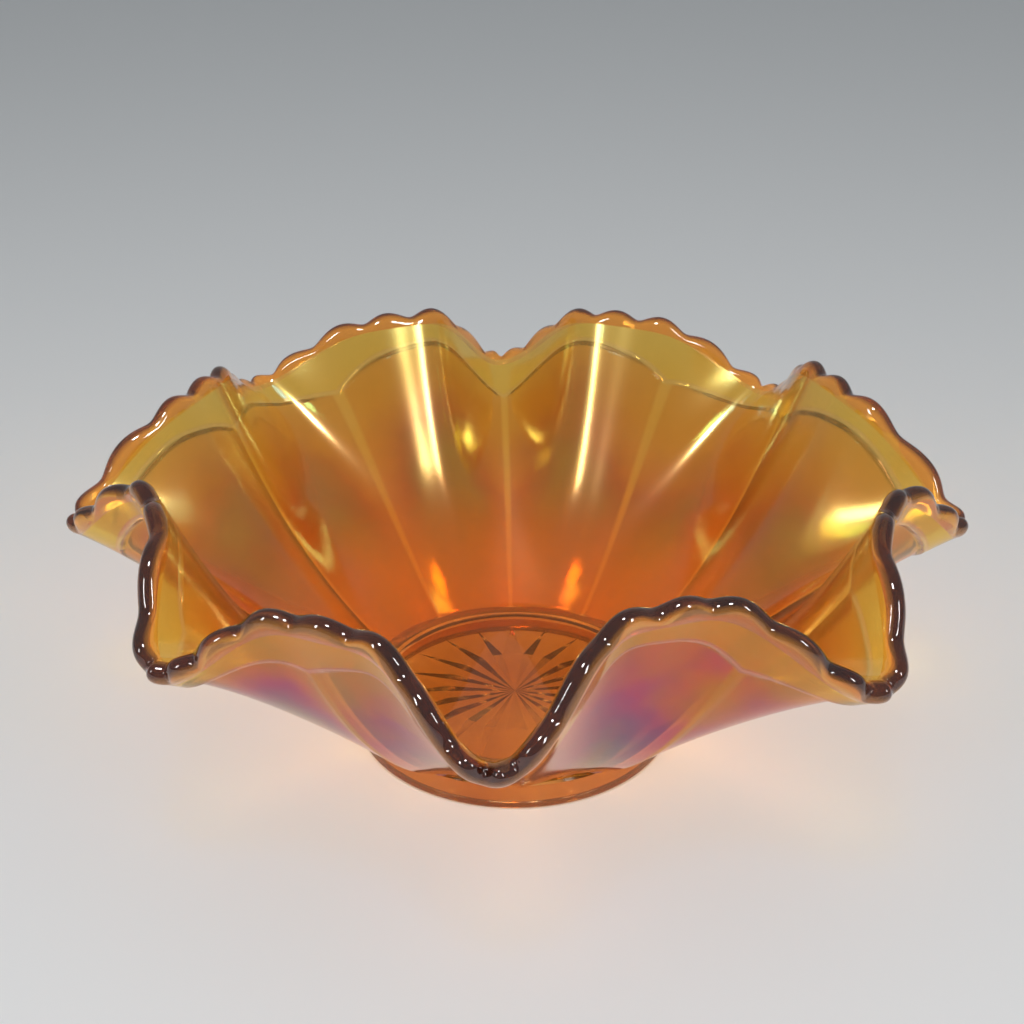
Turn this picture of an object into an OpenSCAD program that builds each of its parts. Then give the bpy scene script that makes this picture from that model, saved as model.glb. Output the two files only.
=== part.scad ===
// Carnival glass bowl.
// A one-piece pressed bowl with twelve arched panels round its outside, a many-rayed star cut under
// its floor, a low collar foot and a scalloped rim, crimped by hand into eight ruffles while hot.
// Millimetres, +Z up. The origin is the centre of the foot's underside and the front faces -Y.

/* [Ruffled rim] */
// Width across the rim where the ruffles dip outwards
dip_span = 230; // [216:2:250]
// Height of the rim at a dip
dip_height = 64; // [56:1:72]
// Width across the rim where the ruffles rise
lobe_span = 192; // [180:2:204]
// Height of the rim at a rise
lobe_height = 86; // [78:1:94]
// How far each crimp strays from an even spacing, 0 for a perfectly even rim
unevenness = 1; // [0:0.1:1.2]
// How far the crimping draws the glass along the rim, towards each rise (degrees)
gather = 3; // [0:0.5:4]
// How far the crimped rim was pushed round the bowl's axis at the front (degrees)
lean = 2.5; // [0:0.5:4]

/* [Rim edge] */
// Number of small scallops round the rim
scallops = 60; // [40, 48, 60]
// Depth of a scallop from its crown to the notch beside it
scallop_depth = 2.2; // [1:0.2:4]
// Thickness of the fire-polished rim
rim_thickness = 5.8; // [5.2:0.2:6.6]

/* [Wall] */
// Thickness of the wall
wall_thickness = 5; // [4.4:0.2:5.2]
// Number of arched panels
panels = 12; // [8, 10, 12]
// Depth of a panel below the round wall, along its middle
panel_depth = 1.8; // [0.4:0.1:2]
// Plain band left between the top of each arch and the rim, as a share of the wall's height
plain_band = 0.09; // [0.08:0.01:0.12]
// Height of an arch from the points beside it to its top, as a share of the wall's height
arch_rise = 0.08; // [0.05:0.01:0.12]

/* [Base and foot] */
// Outer diameter of the collar foot where it stands
foot_diameter = 88; // [86:0.5:90]
// Height of the collar foot
foot_height = 7; // [6.4:0.2:7.4]
// Width of the collar foot's ring
foot_ring_width = 6; // [5:0.5:7]
// Height of the bowl's floor
floor_height = 9.4; // [8.8:0.2:9.8]
// Thickness of the floor
floor_thickness = 5; // [4:0.2:5.6]
// Number of rays in the star
star_rays = 20; // [16:1:24]
// Diameter of the star across the points of its rays
star_diameter = 68; // [56:1:72]
// Depth of a ray where it is widest
star_depth = 0.7; // [0.4:0.1:1.6]

/* [Hidden] */
glass_amber = [0.80, 0.46, 0.14, 0.55];
glass_marigold = [0.86, 0.50, 0.16, 0.60];
glass_amethyst = [0.36, 0.16, 0.12, 0.80];
$fn = 96;

// The rim was crimped into eight ruffles, each with one dip and one rise after it.
ruffles = 8;
ruffle_pitch = 360 / ruffles;
front = -90;
// What the hand crimping did to each dip and each rise, from the front and anticlockwise:
// turned round the axis (degrees), reached outwards and raised (millimetres).
dip_strays = [[-4, -1, -1], [-1, 2, -1], [-3, 3, -1], [-1, -3, 1],
    [1, 0, -3], [-2, 0, 2], [-1, 2, -1], [-4, -3, 0]];
lobe_strays = [[-4, -2, 2], [-3, 2, 0], [-3, 0, 1], [0, -3, 0],
    [-3, 0, -1], [-1, 1, -2], [-2, -1, 0], [-3, 3, -1]];
// The rim is narrower across its dips than across its rises, in plan and, more so, in height.
dip_sharpness_plan = 1.7;
dip_sharpness_height = 2.3;

// The wall's middle surface leaves the foot at one slope and meets the rim at another.
wall_slope_foot = 34;
wall_slope_dip = 30;
wall_slope_lobe = 68;
wall_pull_foot = 0.33;
wall_pull_rim = 0.36;
half_wall = wall_thickness / 2;
wall_foot_radius = foot_diameter / 2 - half_wall * sin(wall_slope_foot) - 0.1;
wall_foot_height = foot_height + half_wall * cos(wall_slope_foot) + 0.13;

// The base disc lies inside the foot, and the wall stands on the foot round it.
base_radius = foot_diameter / 2 - foot_ring_width;
step_radius = base_radius - 2;
step_height = 0.6;
foot_edge_radius = 1;
foot_taper = 0.6;
star_centre_radius = 2;
star_widest = 0.55;
star_land = 0.06;

// One ring of points every 1.5 degrees, which falls on every notch, crown and seam.
ring_points = 240;
ring_step = 360 / ring_points;
// The wall ends just below the rim's bead, and each arch has a short sloping shoulder.
wall_top = 0.96;
bead_sides = 7;
cusp_line = 1 - plain_band - arch_rise;
arch_shoulder = 0.02;
rows_below_arch = [0.05, 0.16, 0.3, 0.45, 0.6, 0.74, 0.88];

function mix(from, to, share) = from + (to - from) * share;
function along(angle) = [cos(angle), sin(angle)];

// Where each dip and rise lies round the rim, and its radius and height.
function stray(list, index, item) = unevenness * list[index % ruffles][item];
function dip_angle(index) = front + ruffle_pitch * index + stray(dip_strays, index, 0);
function lobe_angle(index) = front + ruffle_pitch * (index + 0.5) + stray(lobe_strays, index, 0);
function dip_point(index) =
    [dip_span / 2 + stray(dip_strays, index, 1), dip_height + stray(dip_strays, index, 2)];
function lobe_point(index) =
    [lobe_span / 2 + stray(lobe_strays, index, 1), lobe_height + stray(lobe_strays, index, 2)];

// One angle as a turn from the first dip, and the ruffle that it falls in.
function from_first_dip(angle) = (angle - dip_angle(0) + 720) % 360 + dip_angle(0);
function ruffle_at(angle) = len([for (index = [1:ruffles - 1]) if (angle >= dip_angle(index)) 1]);

// How far an angle has gone from the nearer dip (0) to the rise beside it (1), with the number of
// that dip and of that rise, and the side of the rise that it is on (1 before it, -1 after it).
function crimp_at(angle) =
    let (turned = from_first_dip(angle), index = ruffle_at(turned), top = lobe_angle(index))
    turned <= top
        ? [(turned - dip_angle(index)) / (top - dip_angle(index)), index, index, 1]
        : [(dip_angle(index + 1) - turned) / (dip_angle(index + 1) - top), index + 1, index, -1];

// How far the glass that was pressed at one angle was moved round by the crimping, at the rim.
function rim_turn(angle) =
    let (crimp = crimp_at(angle))
    -gather * sin(180 * crimp[0]) * crimp[3] - lean * cos(angle);

// The rim's radius, height and slope at an angle.
function rim_shape(angle) =
    let (crimp = crimp_at(angle), wave = (1 - cos(180 * crimp[0])) / 2,
        out = 1 - pow(1 - wave, dip_sharpness_plan), up = 1 - pow(1 - wave, dip_sharpness_height),
        dip = dip_point(crimp[1]), lobe = lobe_point(crimp[2]))
    [mix(dip[0], lobe[0], out), mix(dip[1], lobe[1], up), mix(wall_slope_dip, wall_slope_lobe, up)];

// A point on the wall's middle surface: angle is where it was pressed, part is 0 at the foot and 1
// at the rim. In section the wall is one smooth curve with a pull at each end.
function middle(angle, part) =
    let (turn = rim_turn(angle), rim = rim_shape(angle + turn),
        start = [wall_foot_radius, wall_foot_height], finish = [rim[0], rim[1]],
        reach = norm(finish - start), rest = 1 - part,
        first = start + wall_pull_foot * reach * along(wall_slope_foot),
        second = finish - wall_pull_rim * reach * along(rim[2]),
        section = rest * rest * rest * start + 3 * rest * rest * part * first
            + 3 * rest * part * part * second + part * part * part * finish,
        plan = along(angle + turn * part * part))
    [section[0] * plan[0], section[0] * plan[1], section[1]];

// The direction up the wall and the direction out of it, at a point on its middle surface.
function up_wall(angle, part) =
    let (step = middle(angle, part + 0.01) - middle(angle, part - 0.01))
    step / norm(step);
function out_of_wall(angle, part) =
    let (round = middle(angle + 0.5, part) - middle(angle - 0.5, part),
        out = cross(round, up_wall(angle, part)))
    out / norm(out);

// A point on one skin of the wall, at a distance out of its middle surface.
function skin(angle, part, out) = middle(angle, part) + out * out_of_wall(angle, part);

// How deep the panels lie under the round outside. Each is nearly flat across, and ends at the top in
// a shoulder along an arch, which comes down to a point on each seam.
function across_panel(angle) =
    let (pitch = 360 / panels, turned = (angle - front + 360) % pitch)
    (turned - pitch / 2) / (pitch / 2);
function bow(angle) = 1 - across_panel(angle) * across_panel(angle);
function arch_line(angle) = cusp_line + arch_rise * bow(angle);
function panel_cut(angle, part) =
    let (shoulder = (arch_line(angle) - part) / arch_shoulder)
    panel_depth * bow(angle) * min(1, max(0, shoulder));

// How far the rim stands above (or below) its middle line: round crowns with a notch between.
function scallop_rise(angle) = scallop_depth * (abs(sin(scallops * (angle - front) / 2)) - 0.5);

// A solid through sections that follow each other round the bowl. Each section is a loop of an even
// number of points, up one skin and down the other. A closed one joins its last section to its first,
// and an open one has an end at each side, closed by strips from skin to skin.
module swept_solid(sections, closed) {
    size = len(sections[0]);
    count = len(sections);
    last = (count - 1) * size;
    sides = [for (column = [0:closed ? count - 1 : count - 2], row = [0:size - 1]) each
        let (here = column * size, next = (column + 1) % count * size, above = (row + 1) % size)
        [[here + row, next + above, next + row], [here + row, here + above, next + above]]];
    ends = [for (row = [0:size / 2 - 2]) each
        let (back = size - 1 - row)
        [[row, back, back - 1], [row, back - 1, row + 1],
            [last + row, last + back - 1, last + back], [last + row, last + row + 1, last + back - 1]]];
    polyhedron([for (section = sections) each section], closed ? sides : concat(sides, ends));
}

// One section through the wall, up its outside and down its inside. It stands on the foot, round the
// base disc: its outside follows the panels there, and its inside is round.
function wall_section(angle) =
    let (arch = arch_line(angle), inner_radius = base_radius / cos(ring_step / 2),
        outer_radius = foot_diameter / 2 - 0.1 - panel_cut(angle, 0),
        parts = concat(rows_below_arch * (arch - arch_shoulder), [arch - arch_shoulder, arch, wall_top]),
        count = len(parts) - 2)
    concat([[outer_radius * cos(angle), outer_radius * sin(angle), foot_height]],
        [for (part = parts) skin(angle, part, half_wall - panel_cut(angle, part))],
        [for (index = [0:count]) skin(angle, wall_top * (1 - index / count), -half_wall)],
        [for (height = [floor_height + step_height, foot_height])
            [inner_radius * cos(angle), inner_radius * sin(angle), height]]);

// One section through the rim's bead, over its scalloped top from the outside to the inside.
function rim_section(angle) =
    let (rise = scallop_rise(angle), half = rim_thickness / 2)
    concat([skin(angle, wall_top, half_wall)],
        [for (index = [0:bead_sides])
            let (turn = 180 * index / bead_sides)
            middle(angle, 1) + half * cos(turn) * out_of_wall(angle, 1)
                + (rise / 2 - half + (half + rise / 2) * sin(turn)) * up_wall(angle, 1)],
        [skin(angle, wall_top, -half_wall)]);

module collar_foot() {
    outer = foot_diameter / 2;
    color(glass_amber)
    rotate_extrude() {
        polygon([[base_radius, foot_edge_radius], [base_radius + foot_edge_radius, 0],
            [outer - foot_edge_radius, 0], [outer, foot_edge_radius],
            [outer - foot_taper, foot_height], [base_radius, foot_height]]);
        for (centre = [base_radius + foot_edge_radius, outer - foot_edge_radius])
            translate([centre, foot_edge_radius]) circle(r = foot_edge_radius);
    }
}

// One ray of the star: a groove with two sloping sides, widest and deepest part of the way out. The
// cutter is a four-sided pyramid that stands a little out of the underside.
module star_ray() {
    tip = star_diameter / 2;
    widest = tip * star_widest;
    half_width = widest * tan(180 / star_rays) * (1 - star_land);
    stand_out = star_land / 2;
    outline = [[star_centre_radius, 0], [widest, -half_width], [tip, 0], [widest, half_width]];
    deepest = [widest, 0, star_depth];
    foot = [for (point = outline)
        deepest + (1 + stand_out) * ([point[0], point[1], 0] - deepest)];
    sides = [for (index = [0:3]) [index, 4, (index + 1) % 4]];
    polyhedron(concat(foot, [deepest]), concat([[0, 1, 2], [0, 2, 3]], sides));
}

module star_base() {
    underside = floor_height - floor_thickness;
    color(glass_amber)
    difference() {
        rotate_extrude()
            polygon([[0, underside], [base_radius, underside], [base_radius, floor_height + step_height],
                [step_radius + step_height, floor_height + step_height],
                [step_radius, floor_height], [0, floor_height]]);
        for (index = [0:star_rays - 1])
            rotate([0, 0, front + 360 / star_rays * index]) translate([0, 0, underside]) star_ray();
    }
}

// One panel of the wall, from its seam on one side to its seam on the other. Panel 1 starts at the
// front and the others follow anticlockwise.
function panel_name(panel) = str("arched_panel_", panel);
module arched_panel(panel) {
    per_panel = ring_points / panels;
    color(glass_marigold)
    swept_solid([for (index = [(panel - 1) * per_panel:panel * per_panel])
        wall_section(front + ring_step * index)], false);
}

// The rim follows the top of the wall all the way round.
module scalloped_rim() {
    color(glass_amethyst)
    swept_solid([for (index = [0:ring_points - 1]) rim_section(front + ring_step * index)], true);
}

collar_foot();
star_base();
for (panel = [1:panels])
    arched_panel(panel);
scalloped_rim();
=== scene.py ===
import math

import bpy
import numpy as np
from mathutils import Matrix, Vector


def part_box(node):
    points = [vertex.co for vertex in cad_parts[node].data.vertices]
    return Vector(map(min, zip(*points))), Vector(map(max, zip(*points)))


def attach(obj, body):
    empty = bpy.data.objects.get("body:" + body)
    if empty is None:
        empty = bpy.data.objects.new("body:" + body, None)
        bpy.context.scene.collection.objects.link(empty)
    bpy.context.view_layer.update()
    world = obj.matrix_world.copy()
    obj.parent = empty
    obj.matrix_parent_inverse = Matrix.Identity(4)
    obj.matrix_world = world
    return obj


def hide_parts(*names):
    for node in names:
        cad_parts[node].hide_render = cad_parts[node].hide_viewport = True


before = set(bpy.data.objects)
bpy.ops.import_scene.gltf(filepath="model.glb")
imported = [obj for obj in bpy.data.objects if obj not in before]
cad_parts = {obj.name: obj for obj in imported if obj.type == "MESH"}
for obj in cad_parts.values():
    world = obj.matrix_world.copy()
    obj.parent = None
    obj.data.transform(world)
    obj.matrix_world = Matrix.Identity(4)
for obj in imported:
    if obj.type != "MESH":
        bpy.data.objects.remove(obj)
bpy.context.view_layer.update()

MM = 0.001
FRONT = -90.0

# The driving sizes of the bowl, as in the CAD part.
DIP_SPAN, DIP_HEIGHT = 230.0, 64.0
LOBE_SPAN, LOBE_HEIGHT = 192.0, 86.0
GATHER, LEAN = 3.0, 2.5
SCALLOPS, SCALLOP_DEPTH, RIM_THICKNESS = 60, 2.2, 5.8
WALL_THICKNESS = 5.0
PANELS, PANEL_DEPTH, PLAIN_BAND, ARCH_RISE, ARCH_SHOULDER = 12, 1.8, 0.09, 0.08, 0.02
STAR_RAYS, STAR_RADIUS, STAR_WIDEST, STAR_DEPTH = 20, 34.0, 0.55, 0.7
NOTCH_SOFTNESS, NOTCH_PINCH = 0.3, 0.2
STEP_HEIGHT, STEP_WIDTH = 0.6, 2.0
FOOT_TAPER, FOOT_EDGE, STEP_EDGE = 0.6, 1.0, 0.3
# The wall starts this far in from the foot's outside, and this far above its top.
WALL_INSET, WALL_RAISE = 0.1, 0.13
# The smooth rim is kept this far inside the CAD part's flat facets.
SLACK = 0.2

# Sizes that the frame gives.
foot_lo, foot_hi = (np.array(corner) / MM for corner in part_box("collar_foot"))
base_lo, base_hi = (np.array(corner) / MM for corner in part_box("star_base"))
FOOT_RADIUS, FOOT_HEIGHT = 44.0, foot_hi[2]
BASE_RADIUS, UNDERSIDE, STEP_TOP = 38.0, base_lo[2], base_hi[2]
FLOOR_HEIGHT = STEP_TOP - STEP_HEIGHT
STEP_RADIUS = BASE_RADIUS - STEP_WIDTH

# What the hand crimping did to each dip and each rise, from the front and anticlockwise: turned
# (degrees), reached outwards and raised (millimetres).
RUFFLES = 8
PITCH = 360.0 / RUFFLES
DIP_STRAYS = np.array([[-4, -1, -1], [-1, 2, -1], [-3, 3, -1], [-1, -3, 1],
                       [1, 0, -3], [-2, 0, 2], [-1, 2, -1], [-4, -3, 0]], float)
LOBE_STRAYS = np.array([[-4, -2, 2], [-3, 2, 0], [-3, 0, 1], [0, -3, 0],
                        [-3, 0, -1], [-1, 1, -2], [-2, -1, 0], [-3, 3, -1]], float)
DIP_SHARPNESS_PLAN, DIP_SHARPNESS_HEIGHT = 1.7, 2.3
SLOPE_FOOT, SLOPE_DIP, SLOPE_LOBE = 34.0, 30.0, 68.0
PULL_FOOT, PULL_RIM = 0.33, 0.36

HALF_WALL = WALL_THICKNESS / 2
WALL_FOOT_RADIUS = FOOT_RADIUS - HALF_WALL * math.sin(math.radians(SLOPE_FOOT)) - WALL_INSET
WALL_FOOT_HEIGHT = FOOT_HEIGHT + HALF_WALL * math.cos(math.radians(SLOPE_FOOT)) + WALL_RAISE
WALL_TOP = 0.96
CUSP_LINE = 1 - PLAIN_BAND - ARCH_RISE

# How many points go round the wall and the rim, and round the foot and the base.
COLUMNS = SCALLOPS * 16
ROUND_COLUMNS = STAR_RAYS * 12

dip_angles = FRONT + PITCH * np.arange(RUFFLES + 1) + DIP_STRAYS[np.arange(RUFFLES + 1) % RUFFLES, 0]
lobe_angles = FRONT + PITCH * (np.arange(RUFFLES) + 0.5) + LOBE_STRAYS[:, 0]


def cos(angle):
    return np.cos(np.radians(angle))


def sin(angle):
    return np.sin(np.radians(angle))


def mix(start, finish, share):
    return start + (finish - start) * share


def crimp_at(angle):
    """How far each angle has gone from the nearer dip to the rise beside it, with both their numbers."""
    turned = (angle - dip_angles[0]) % 360 + dip_angles[0]
    index = np.clip(np.searchsorted(dip_angles, turned, side="right") - 1, 0, RUFFLES - 1)
    before, top, after = dip_angles[index], lobe_angles[index], dip_angles[index + 1]
    rising = turned <= top
    share = np.where(rising, (turned - before) / (top - before), (after - turned) / (after - top))
    return share, np.where(rising, index, (index + 1) % RUFFLES), index, np.where(rising, 1, -1)


def rim_turn(angle):
    """How far the crimping moved the glass round the axis, at the rim, in degrees."""
    share, _, _, side = crimp_at(angle)
    return -GATHER * sin(180 * share) * side - LEAN * cos(angle)


def rim_shape(angle):
    """The rim's radius, height and slope."""
    share, dip, lobe, _ = crimp_at(angle)
    wave = (1 - cos(180 * share)) / 2
    out = 1 - (1 - wave) ** DIP_SHARPNESS_PLAN
    up = 1 - (1 - wave) ** DIP_SHARPNESS_HEIGHT
    radius = mix(DIP_SPAN / 2 + DIP_STRAYS[dip, 1], LOBE_SPAN / 2 + LOBE_STRAYS[lobe, 1], out)
    height = mix(DIP_HEIGHT + DIP_STRAYS[dip, 2], LOBE_HEIGHT + LOBE_STRAYS[lobe, 2], up)
    return radius, height, mix(SLOPE_DIP, SLOPE_LOBE, up)


def middle(angle, part):
    """Points on the wall's middle surface; part runs from 0 at the foot to 1 at the rim."""
    turn = rim_turn(angle)
    radius, height, slope = rim_shape(angle + turn)
    reach = np.hypot(radius - WALL_FOOT_RADIUS, height - WALL_FOOT_HEIGHT)
    rest = 1 - part
    weights = rest**3, 3 * rest**2 * part, 3 * rest * part**2, part**3
    pulls = PULL_FOOT * reach, PULL_RIM * reach
    radii = (WALL_FOOT_RADIUS, WALL_FOOT_RADIUS + pulls[0] * cos(SLOPE_FOOT),
             radius - pulls[1] * cos(slope), radius)
    heights = (WALL_FOOT_HEIGHT, WALL_FOOT_HEIGHT + pulls[0] * sin(SLOPE_FOOT),
               height - pulls[1] * sin(slope), height)
    r = sum(w * value for w, value in zip(weights, radii))
    z = sum(w * value for w, value in zip(weights, heights))
    plan = angle + turn * part**2
    return np.stack([r * cos(plan), r * sin(plan), z], -1)


def unit(vectors):
    return vectors / np.linalg.norm(vectors, axis=-1, keepdims=True)


def up_wall(angle, part):
    return unit(middle(angle, part + 0.01) - middle(angle, part - 0.01))


def out_of_wall(angle, part):
    return unit(np.cross(middle(angle + 0.5, part) - middle(angle - 0.5, part), up_wall(angle, part)))


def skin(angle, part, out):
    """Points on one skin of the wall, at a distance out of its middle surface."""
    return middle(angle, part) + np.asarray(out)[..., None] * out_of_wall(angle, part)


def across_panel(angle):
    """Where an angle lies across its panel, from -1 at one seam to 1 at the next."""
    pitch = 360 / PANELS
    return ((angle - FRONT) % pitch - pitch / 2) / (pitch / 2)


def bow(angle):
    """How deep a panel is across its width, from 0 at its seams to 1 along its middle."""
    return 1 - across_panel(angle) ** 2


def arch_line(angle):
    """How far up the wall a panel's arch lies."""
    return CUSP_LINE + ARCH_RISE * bow(angle)


def panel_cut(angle, part):
    """How deep a panel lies under the round outside, with a soft shoulder along its arch."""
    shoulder = np.clip((arch_line(angle) - part) / ARCH_SHOULDER, 0, 1)
    return PANEL_DEPTH * bow(angle) * shoulder**2 * (3 - 2 * shoulder)


def scallop(angle):
    """How near an angle is to the crown of its scallop: 1 on a crown and 0 in its fire-polished notch."""
    rise = np.hypot(sin(SCALLOPS * (angle - FRONT) / 2), NOTCH_SOFTNESS) - NOTCH_SOFTNESS
    return rise / (math.hypot(1, NOTCH_SOFTNESS) - NOTCH_SOFTNESS)


# ---- meshes ------------------------------------------------------------------------------------

def ring_faces(rings, columns):
    """Quads between rings of points, and from the last ring back to the first."""
    ring, column = np.meshgrid(np.arange(rings), np.arange(columns), indexing="ij")
    beside = (column + 1) % columns
    start, start_above = ring * columns, (ring + 1) % rings * columns
    corners = start + column, start + beside, start_above + beside, start_above + column
    return np.stack(corners, -1).reshape(-1, 4).tolist()


def new_piece(name, points, faces, looks, materials, sharp_above, uvs=None):
    """One closed glass piece in metres. looks gives the faces of each material after the first."""
    mesh = bpy.data.meshes.new(name)
    mesh.from_pydata((np.asarray(points) * MM).tolist(), [], faces)
    mesh.validate()
    for material in materials:
        mesh.materials.append(material)
    slots = np.zeros(len(mesh.polygons), np.int32)
    for number, own_faces in enumerate(looks, start=1):
        slots[list(own_faces)] = number
    mesh.polygons.foreach_set("material_index", slots)
    mesh.polygons.foreach_set("use_smooth", np.ones(len(mesh.polygons), bool))
    mesh.set_sharp_from_angle(angle=math.radians(sharp_above))
    if uvs is not None:
        corners = np.empty(len(mesh.loops), np.int32)
        mesh.loops.foreach_get("vertex_index", corners)
        layer = mesh.uv_layers.new(name="place")
        layer.uv.foreach_set("vector", np.asarray(uvs, np.float32)[corners].ravel())
    mesh.update()
    piece = bpy.data.objects.new(name, mesh)
    bpy.context.scene.collection.objects.link(piece)
    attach(piece, "root")
    return piece


def round_ring(angles, radius, height):
    """A level ring of points round the axis."""
    radius = np.broadcast_to(radius, angles.shape)
    return np.stack([radius * cos(angles), radius * sin(angles), np.full(angles.shape, height)], -1)


def faces_of_rings(rings, columns):
    """The numbers of the faces that lie between the given rings and the next ones."""
    return [ring * columns + column for ring in rings for column in range(columns)]


def make_wall(materials):
    """The panelled wall: its outside rows follow the arches, so each arch is a true edge."""
    angles = FRONT + 360 / COLUMNS * np.arange(COLUMNS)
    turn = (angles - FRONT) / 360
    # just clear of the base's flat sides
    base_edge = BASE_RADIUS / math.cos(math.pi / ROUND_COLUMNS)
    arch = arch_line(angles)
    shoulder = arch - ARCH_SHOULDER
    rings = [round_ring(angles, base_edge, FOOT_HEIGHT),
             round_ring(angles, FOOT_RADIUS - WALL_INSET - panel_cut(angles, 0.0), FOOT_HEIGHT)]
    places = [np.stack([turn, 0 * turn], -1)] * 2
    outside = [shoulder * share for share in np.linspace(0, 1, 48)]
    outside += [mix(shoulder, arch, share) for share in np.linspace(0, 1, 7)[1:]]
    outside += [mix(arch, WALL_TOP, share) for share in np.linspace(0, 1, 8)[1:]]
    for part in outside:
        rings.append(skin(angles, part, HALF_WALL - panel_cut(angles, part)))
        places.append(np.stack([turn, part], -1))
    first_inside = len(rings)
    for share in np.linspace(WALL_TOP, 0, 46):
        part = np.full(angles.shape, share)
        rings.append(skin(angles, part, np.full(angles.shape, -HALF_WALL)))
        places.append(np.stack([turn, part], -1))
    rings.append(round_ring(angles, base_edge, STEP_TOP))
    places.append(places[0])
    last = len(rings) - 1
    joints = faces_of_rings([0, first_inside - 1, last], COLUMNS)
    inside = faces_of_rings(range(first_inside, last), COLUMNS)
    return new_piece("wall_glass", np.concatenate(rings), ring_faces(len(rings), COLUMNS),
                     [joints, inside], materials, 8, np.concatenate(places))


def make_rim(materials):
    """The fire-polished rim: a round bead, full at each scallop's crown and thinner in each notch."""
    angles = FRONT + 360 / COLUMNS * np.arange(COLUMNS)
    turn = (angles - FRONT) / 360
    top = np.full(angles.shape, WALL_TOP)
    one = np.ones(angles.shape)
    crown = scallop(angles)
    rise = SCALLOP_DEPTH * (crown - 0.5)
    full = RIM_THICKNESS / 2
    half = full - SLACK - NOTCH_PINCH * (1 - crown)
    centre, out, up = middle(angles, one), out_of_wall(angles, one), up_wall(angles, one)
    rings = [skin(angles, top, HALF_WALL * one)]
    places = [np.stack([turn, 0 * turn], -1)]
    for share in np.linspace(0, 1, 25):
        reach = half * cos(180 * share)
        lift = rise / 2 - full + (full + rise / 2 - SLACK) * sin(180 * share)
        rings.append(centre + reach[:, None] * out + lift[:, None] * up)
        places.append(np.stack([turn, mix(0.1, 0.9, share) * one], -1))
    rings.append(skin(angles, top, -HALF_WALL * one))
    places.append(np.stack([turn, one], -1))
    joints = faces_of_rings([len(rings) - 1], COLUMNS)
    return new_piece("rim_glass", np.concatenate(rings), ring_faces(len(rings), COLUMNS),
                     [joints], materials, 50, np.concatenate(places))


def arc(centre, radius, start, finish, steps):
    """Points of a profile along an arc."""
    angles = np.linspace(start, finish, steps)
    return [(centre[0] + radius * cos(a), centre[1] + radius * sin(a)) for a in angles]


def turned_rings(profile):
    """The points of a profile of radii and heights, turned round the axis."""
    angles = FRONT + 360 / ROUND_COLUMNS * np.arange(ROUND_COLUMNS)
    return np.concatenate([round_ring(angles, r, z) for r, z in profile])


def make_foot(materials):
    """The collar foot: a low ring with rounded edges where it stands."""
    profile = [(BASE_RADIUS, FOOT_HEIGHT), (BASE_RADIUS, UNDERSIDE)]
    profile += arc((BASE_RADIUS + FOOT_EDGE, FOOT_EDGE), FOOT_EDGE, 180, 270, 7)
    profile += arc((FOOT_RADIUS - FOOT_EDGE, FOOT_EDGE), FOOT_EDGE, 270, 360, 7)
    profile += [(FOOT_RADIUS - FOOT_TAPER, FOOT_HEIGHT)]
    joints = faces_of_rings([0, len(profile) - 1], ROUND_COLUMNS)
    return new_piece("foot_glass", turned_rings(profile), ring_faces(len(profile), ROUND_COLUMNS),
                     [joints], materials, 30)


def star_points():
    """The star's middle, then three points for each ray: the deepest place of its groove, its tip, and
    where it meets the next ray at its widest."""
    widest, half_turn = STAR_RADIUS * STAR_WIDEST, 180 / STAR_RAYS
    points = [[0, 0, UNDERSIDE]]
    for ray in range(STAR_RAYS):
        along = FRONT + 2 * half_turn * ray
        for radius, angle, height in ((widest, along, UNDERSIDE + STAR_DEPTH),
                                      (STAR_RADIUS, along, UNDERSIDE),
                                      (widest / float(cos(half_turn)), along + half_turn, UNDERSIDE)):
            points.append([radius * float(cos(angle)), radius * float(sin(angle)), height])
    return points


def star_faces(hub):
    """The faces between the star's points, which start at the hub, and the outline round the star,
    which is the first ring of points. Each ray is a groove with four sides."""
    faces = []
    per_ray = ROUND_COLUMNS // STAR_RAYS
    for ray in range(STAR_RAYS):
        deep, tip, after = (hub + 1 + 3 * ray + place for place in range(3))
        before = hub + 3 + 3 * ((ray - 1) % STAR_RAYS)
        next_tip = hub + 2 + 3 * ((ray + 1) % STAR_RAYS)
        faces += [[hub, deep, before], [hub, after, deep], [before, deep, tip], [deep, after, tip]]
        outline = [(ray * per_ray + step) % ROUND_COLUMNS for step in range(per_ray + 1)]
        faces.append([tip, after, next_tip] + outline[::-1])
    return faces


def make_base(materials):
    """The floor, with its step ring inside and the star under it."""
    profile = [(STAR_RADIUS + 1, UNDERSIDE), (BASE_RADIUS, UNDERSIDE), (BASE_RADIUS, STEP_TOP)]
    profile += arc((STEP_RADIUS + STEP_HEIGHT + STEP_EDGE, STEP_TOP - STEP_EDGE), STEP_EDGE, 90, 150, 4)
    profile += [(STEP_RADIUS * share, FLOOR_HEIGHT) for share in (1.0, 0.6, 0.2)]
    points = turned_rings(profile).tolist()
    faces = ring_faces(len(profile), ROUND_COLUMNS)[:-ROUND_COLUMNS]
    joints = faces_of_rings([1], ROUND_COLUMNS)
    centre = len(points)
    last = centre - ROUND_COLUMNS
    points.append([0, 0, FLOOR_HEIGHT])
    faces += [[last + c, last + (c + 1) % ROUND_COLUMNS, centre] for c in range(ROUND_COLUMNS)]
    faces += star_faces(len(points))
    points += star_points()
    return new_piece("base_glass", points, faces, [joints], materials, 4)


# ---- materials ---------------------------------------------------------------------------------

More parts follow.
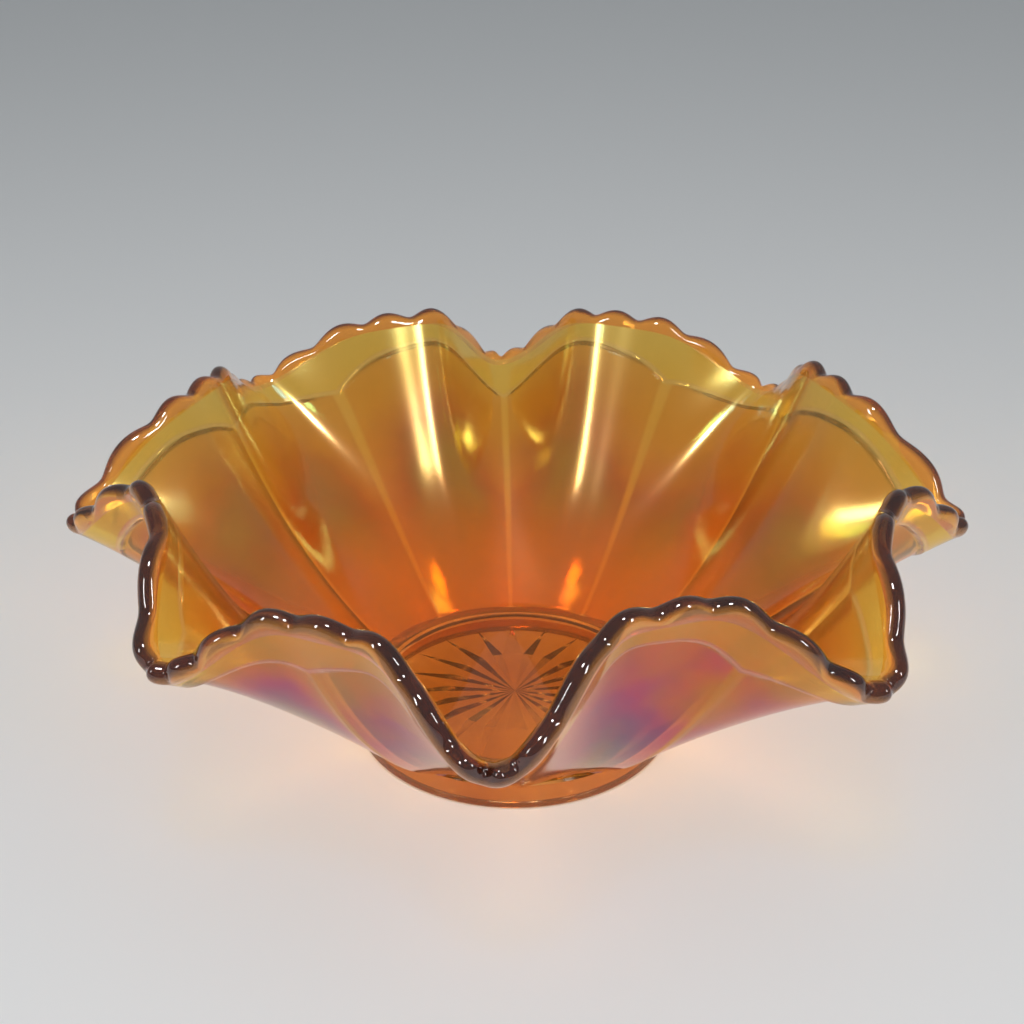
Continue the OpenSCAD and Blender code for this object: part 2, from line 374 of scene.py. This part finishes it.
class Nodes:
    """A short way to add and join shader nodes."""

    def __init__(self, name):
        self.material = bpy.data.materials.new(name)
        self.material.use_nodes = True
        self.tree = self.material.node_tree
        self.tree.nodes.clear()
        self.output = self.tree.nodes.new("ShaderNodeOutputMaterial")

    def add(self, kind, inputs=None, **settings):
        node = self.tree.nodes.new("ShaderNode" + kind)
        for key, value in settings.items():
            setattr(node, key, value)
        for key, value in (inputs or {}).items():
            if isinstance(value, bpy.types.NodeSocket):
                self.tree.links.new(value, node.inputs[key])
            else:
                node.inputs[key].default_value = value
        return node

    def ramp(self, factor, stops):
        node = self.add("ValToRGB", {"Fac": factor})
        elements = node.color_ramp.elements
        for place, colour in stops[2:]:
            elements.new(place)
        for element, (place, colour) in zip(elements, stops):
            element.position = place
            element.color = (*colour, 1)
        return node.outputs["Color"]

    def math(self, operation, first, second=0.0, third=0.0):
        return self.add("Math", {0: first, 1: second, 2: third}, operation=operation).outputs[0]

    def blend(self, factor, first, second):
        return self.add("Mix", {0: factor, 6: first, 7: second}, data_type="RGBA").outputs[2]

    def finish(self, shader, lamp_tint):
        """Put the shader out. Lamps shine through the glass in the lamp tint, so that it throws a
        warm light on the table and not a dark shadow."""
        lamp_ray = self.add("LightPath").outputs["Is Shadow Ray"]
        clear = self.add("BsdfTransparent", {"Color": (*lamp_tint, 1)}).outputs[0]
        return self.plain_finish(self.add("MixShader", {0: lamp_ray, 1: shader, 2: clear}).outputs[0])

    def plain_finish(self, shader):
        self.tree.links.new(shader, self.output.inputs["Surface"])
        return self.material


GLASS_IOR, FILM_IOR = 1.52, 1.95
# How thick the lustre's film is, in nanometres. A thin one gives a pale straw sheen. From gold, a film
# goes through rose and violet as it thickens, and this much more turns it green.
PALE_FILM, GOLD_FILM = 75.0, 256.0
GOLD_TO_GREEN = 88.0


def clear_joint():
    """Where two regions of the one pressing meet, light goes straight through."""
    nodes = Nodes("glass_joint")
    return nodes.plain_finish(nodes.add("BsdfTransparent").outputs[0])


def glass(nodes, colour, film, bump, body, roughness, haze=0.0, coat_roughness=0.3,
          lamp_tint=(0.985, 0.97, 0.94)):
    """Glass of a colour under a thin metallic film, which gives the lustre. body is how clear the
    glass is, and haze is the wide soft sheen of the film."""
    shader = nodes.add("BsdfPrincipled", {
        "Base Color": colour, "Roughness": roughness, "IOR": GLASS_IOR, "Transmission Weight": body,
        "Thin Film Thickness": film, "Thin Film IOR": FILM_IOR, "Coat Weight": haze,
        "Coat Roughness": coat_roughness, "Coat IOR": 1.7, "Normal": bump}).outputs[0]
    return nodes.finish(shader, lamp_tint)


def ripple(nodes, place, scale, strength):
    """The faint unevenness of pressed and fire-polished glass."""
    waves = nodes.add("TexNoise", {"Vector": place, "Scale": scale, "Detail": 2.0}).outputs["Fac"]
    return nodes.add("Bump", {"Height": waves, "Strength": strength, "Distance": 0.001}).outputs[0]


def wall_place(nodes):
    """Where a point of the wall lies: its place up the wall, and its way below the panel's arch (in
    shares of the wall's height) and in from the nearer seam (0 on the seam, 1 on the middle)."""
    place = nodes.add("SeparateXYZ", {0: nodes.add("UVMap", uv_map="place").outputs[0]})
    turn, part = place.outputs["X"], place.outputs["Y"]
    across = nodes.math("MULTIPLY_ADD", nodes.math("FRACT", nodes.math("MULTIPLY", turn, PANELS)), 2.0, -1.0)
    side = nodes.math("SUBTRACT", 1.0, nodes.math("ABSOLUTE", across))
    round_top = nodes.math("SUBTRACT", 1.0, nodes.math("MULTIPLY", across, across))
    arch = nodes.math("MULTIPLY_ADD", round_top, ARCH_RISE, CUSP_LINE)
    return part, nodes.math("SUBTRACT", arch, part), side


def scaled(nodes, value, start, finish):
    """A value as a share of the way from start to finish, kept between 0 and 1."""
    return nodes.add("MapRange", {"Value": value, "From Min": start, "From Max": finish}).outputs[0]


def outside_material():
    """The lustre outside: orange at each panel's outline, then rose, lilac and green in and down, and gold
    above the arches, with painted highlights: a pale line along every arch and an orange one along every
    seam."""
    nodes = Nodes("marigold_outside")
    spot = nodes.add("TexCoord").outputs["Object"]
    part, below, side = wall_place(nodes)
    in_from_arch, in_from_seam = nodes.math("DIVIDE", below, 0.30), nodes.math("DIVIDE", side, 0.70)
    inwards = nodes.math("MULTIPLY", nodes.math("SMOOTH_MIN", in_from_arch, in_from_seam, 0.3), 0.5)
    cloud = nodes.add("TexNoise", {"Vector": spot, "Scale": 26.0, "Detail": 3.0}).outputs["Fac"]
    patches = nodes.math("MULTIPLY_ADD", cloud, 1.7, -0.92)
    band = nodes.math("ADD", nodes.math("MULTIPLY_ADD", below, 0.9, patches), inwards)

    low_down = scaled(nodes, part, 0.45, 0.2)
    above_arch = scaled(nodes, below, 0.0, -0.012)
    # Painted highlight: a pale line along each arch, where its shoulder's crease catches the light.
    arch_highlight = scaled(nodes, nodes.math("ABSOLUTE", below), 0.011, 0.004)
    # Painted highlight: an orange line beside each seam's ridge, below the arches.
    beside_seam = nodes.math("MAXIMUM", side, nodes.math("LESS_THAN", below, 0.0))
    seam_highlight = scaled(nodes, beside_seam, 0.070, 0.030)

    colour = nodes.ramp(band, [(0.0, (0.80, 0.21, 0.006)), (0.3, (0.68, 0.12, 0.006)),
                               (0.55, (0.46, 0.04, 0.014)), (0.8, (0.29, 0.06, 0.03)),
                               (1.0, (0.27, 0.13, 0.04))])
    colour = nodes.blend(low_down, colour, (0.76, 0.21, 0.012, 1))
    colour = nodes.blend(above_arch, colour, (0.95, 0.56, 0.04, 1))
    # The painted highlight along the seams.
    colour = nodes.blend(seam_highlight, colour, (0.98, 0.44, 0.05, 1))
    # The painted highlight along the arches.
    colour = nodes.blend(arch_highlight, colour, (1.0, 0.58, 0.16, 1))

    in_panel = nodes.math("SUBTRACT", 1.0, nodes.math("MAXIMUM", above_arch, seam_highlight))
    thicker = nodes.math("MULTIPLY", nodes.math("MULTIPLY", band, GOLD_TO_GREEN), in_panel)
    film = nodes.math("ADD", thicker, GOLD_FILM)
    # The painted arch highlight also gets the thin, pale film.
    to_pale = nodes.math("MULTIPLY", arch_highlight, nodes.math("SUBTRACT", PALE_FILM, film))
    film = nodes.math("ADD", film, to_pale)
    return glass(nodes, colour, film, ripple(nodes, spot, 40.0, 0.06), body=0.93, roughness=0.06)


def inside_material():
    """The lustre inside: deep orange low down and golden under the rim, with a soft golden sheen."""
    nodes = Nodes("marigold_inside")
    spot = nodes.add("TexCoord").outputs["Object"]
    part, _, _ = wall_place(nodes)
    cloud = nodes.add("TexNoise", {"Vector": spot, "Scale": 20.0, "Detail": 2.0}).outputs["Fac"]
    level = nodes.math("ADD", part, nodes.math("MULTIPLY_ADD", cloud, 0.5, -0.25))
    colour = nodes.ramp(level, [(0.0, (0.60, 0.06, 0.0005)), (0.4, (0.68, 0.125, 0.002)),
                                (0.75, (0.80, 0.36, 0.03)), (1.0, (0.86, 0.56, 0.14))])
    film = nodes.math("MULTIPLY_ADD", cloud, 60.0, 202.0)
    return glass(nodes, colour, film, ripple(nodes, spot, 40.0, 0.08), body=0.86, roughness=0.14, haze=0.14)


# Where the rim's end lies across it, from 0 at its outer joint to 1 at its inner one.
RIM_END = 0.53


def rim_material():
    """The rim: its end is painted dark brown, a painted shade for the dark surroundings that its round
    bead shows and the long way light goes through it there, and its two sides are golden like the wall."""
    nodes = Nodes("rim_with_painted_shade")
    spot = nodes.add("TexCoord").outputs["Object"]
    across = nodes.add("SeparateXYZ", {0: nodes.add("UVMap", uv_map="place").outputs[0]}).outputs["Y"]
    off_end = nodes.math("ABSOLUTE", nodes.math("SUBTRACT", across, RIM_END))
    sides = scaled(nodes, off_end, 0.13, 0.27)
    cloud = nodes.add("TexNoise", {"Vector": spot, "Scale": 60.0, "Detail": 2.0}).outputs["Fac"]
    # Painted shade: the rim's end is dark brown, a little redder in places.
    dark = nodes.ramp(cloud, [(0.35, (0.050, 0.018, 0.016)), (0.75, (0.20, 0.045, 0.018))])
    colour = nodes.blend(sides, dark, (0.88, 0.38, 0.05, 1))
    bump = ripple(nodes, spot, 120.0, 0.05)
    return glass(nodes, colour, 0.0, bump, body=0.8, roughness=0.05, haze=0.5, coat_roughness=0.06)


def amber_material():
    """Clear amber glass, with no lustre."""
    nodes = Nodes("amber_glass")
    spot = nodes.add("TexCoord").outputs["Object"]
    cloud = nodes.add("TexNoise", {"Vector": spot, "Scale": 25.0, "Detail": 2.0}).outputs["Fac"]
    colour = nodes.ramp(cloud, [(0.3, (0.58, 0.20, 0.03)), (0.7, (0.72, 0.33, 0.08))])
    bump = ripple(nodes, spot, 60.0, 0.05)
    return glass(nodes, colour, 0.0, bump, body=0.92, roughness=0.04, lamp_tint=(0.66, 0.56, 0.44))


# ---- the bowl ----------------------------------------------------------------------------------

joint = clear_joint()
amber = amber_material()
panels = [f"arched_panel_{number}" for number in range(1, PANELS + 1)]
pieces = [
    (make_wall([outside_material(), joint, inside_material()]), panels, "marigold_glass"),
    # The rim's glass has a painted shade along its end.
    (make_rim([rim_material(), joint]), ["scalloped_rim"], "amethyst_glass"),
    (make_foot([amber, joint]), ["collar_foot"], "amber_glass"),
    (make_base([amber, joint]), ["star_base"], "amber_glass"),
]
for piece, nodes, slot in pieces:
    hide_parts(*nodes)


# ---- the studio --------------------------------------------------------------------------------

def make_floor():
    """A pale sweep: a floor that curves up into a backdrop behind the bowl. It lies a hair below the
    foot, so that the two faces never fall on each other."""
    depth, radius = 1.3, 0.9
    level = -0.0001
    profile = [(-3.0, level), (-1.0, level), (depth, level)]
    profile += [(depth + radius * math.sin(t), level + radius * (1 - math.cos(t)))
                for t in np.linspace(0, math.pi / 2, 24)[1:]]
    profile += [(depth + radius, 3.0)]
    points = [(x, y, z) for x in (-3.5, 3.5) for y, z in profile]
    count = len(profile)
    faces = [(i, i + 1, count + i + 1, count + i) for i in range(count - 1)]
    mesh = bpy.data.meshes.new("studio_sweep")
    mesh.from_pydata(points, [], faces)
    mesh.polygons.foreach_set("use_smooth", np.ones(len(faces), bool))
    nodes = Nodes("pale_paper")
    shader = nodes.add("BsdfPrincipled", {"Base Color": (0.86, 0.86, 0.855, 1), "Roughness": 0.6})
    mesh.materials.append(nodes.plain_finish(shader.outputs[0]))
    sweep = bpy.data.objects.new("studio_sweep", mesh)
    bpy.context.scene.collection.objects.link(sweep)


def add_softbox(name, azimuth, elevation, distance, size, power, colour=(1, 1, 1)):
    """A lit panel that faces the bowl. Azimuth is from +X and elevation from the floor, in degrees."""
    light = bpy.data.lights.new(name, "AREA")
    light.shape = "RECTANGLE"
    light.size, light.size_y = size
    light.energy = power
    light.color = colour
    lamp = bpy.data.objects.new(name, light)
    middle_of_bowl = Vector((0, 0, 0.05))
    away = Vector((cos(elevation) * cos(azimuth), cos(elevation) * sin(azimuth), sin(elevation)))
    lamp.location = middle_of_bowl + distance * away
    lamp.rotation_euler = (-away).to_track_quat("-Z", "Y").to_euler()
    bpy.context.scene.collection.objects.link(lamp)


def set_world(colour, strength):
    world = bpy.data.worlds.new("studio")
    world.use_nodes = True
    background = world.node_tree.nodes["Background"]
    background.inputs["Color"].default_value = (*colour, 1)
    background.inputs["Strength"].default_value = strength
    bpy.context.scene.world = world


def add_camera():
    """The camera's angle on the bowl: low, in front, and about twice its width away."""
    elevation, azimuth, distance = math.radians(27.85), math.radians(1.6), 0.44
    forward = Vector((math.sin(azimuth) * math.cos(elevation),
                      math.cos(azimuth) * math.cos(elevation), -math.sin(elevation)))
    right = Vector((math.cos(azimuth), -math.sin(azimuth), 0))
    target = Vector((0, 0, 0.0638)) - 0.00076 * right
    data = bpy.data.cameras.new("camera")
    data.sensor_width, data.lens = 36.0, 58.57
    data.clip_start, data.clip_end = 0.01, 50
    camera = bpy.data.objects.new("camera", data)
    camera.location = target - distance * forward
    camera.rotation_mode = "QUATERNION"
    camera.rotation_quaternion = forward.to_track_quat("-Z", "Y")
    bpy.context.scene.collection.objects.link(camera)
    bpy.context.scene.camera = camera


make_floor()
set_world((0.74, 0.80, 0.85), 0.33)
add_softbox("softbox_right", -46, 30, 1.4, (0.15, 0.48), 4.4)
add_softbox("softbox_left", -140, 27, 1.4, (0.13, 0.46), 3.8)
add_softbox("lamp_above", -98, 66, 0.8, (0.10, 0.10), 2.2)
add_camera()

scene = bpy.context.scene
scene.view_settings.view_transform = "Standard"
scene.cycles.max_bounces = 20
scene.cycles.transmission_bounces = 20
scene.cycles.transparent_max_bounces = 24
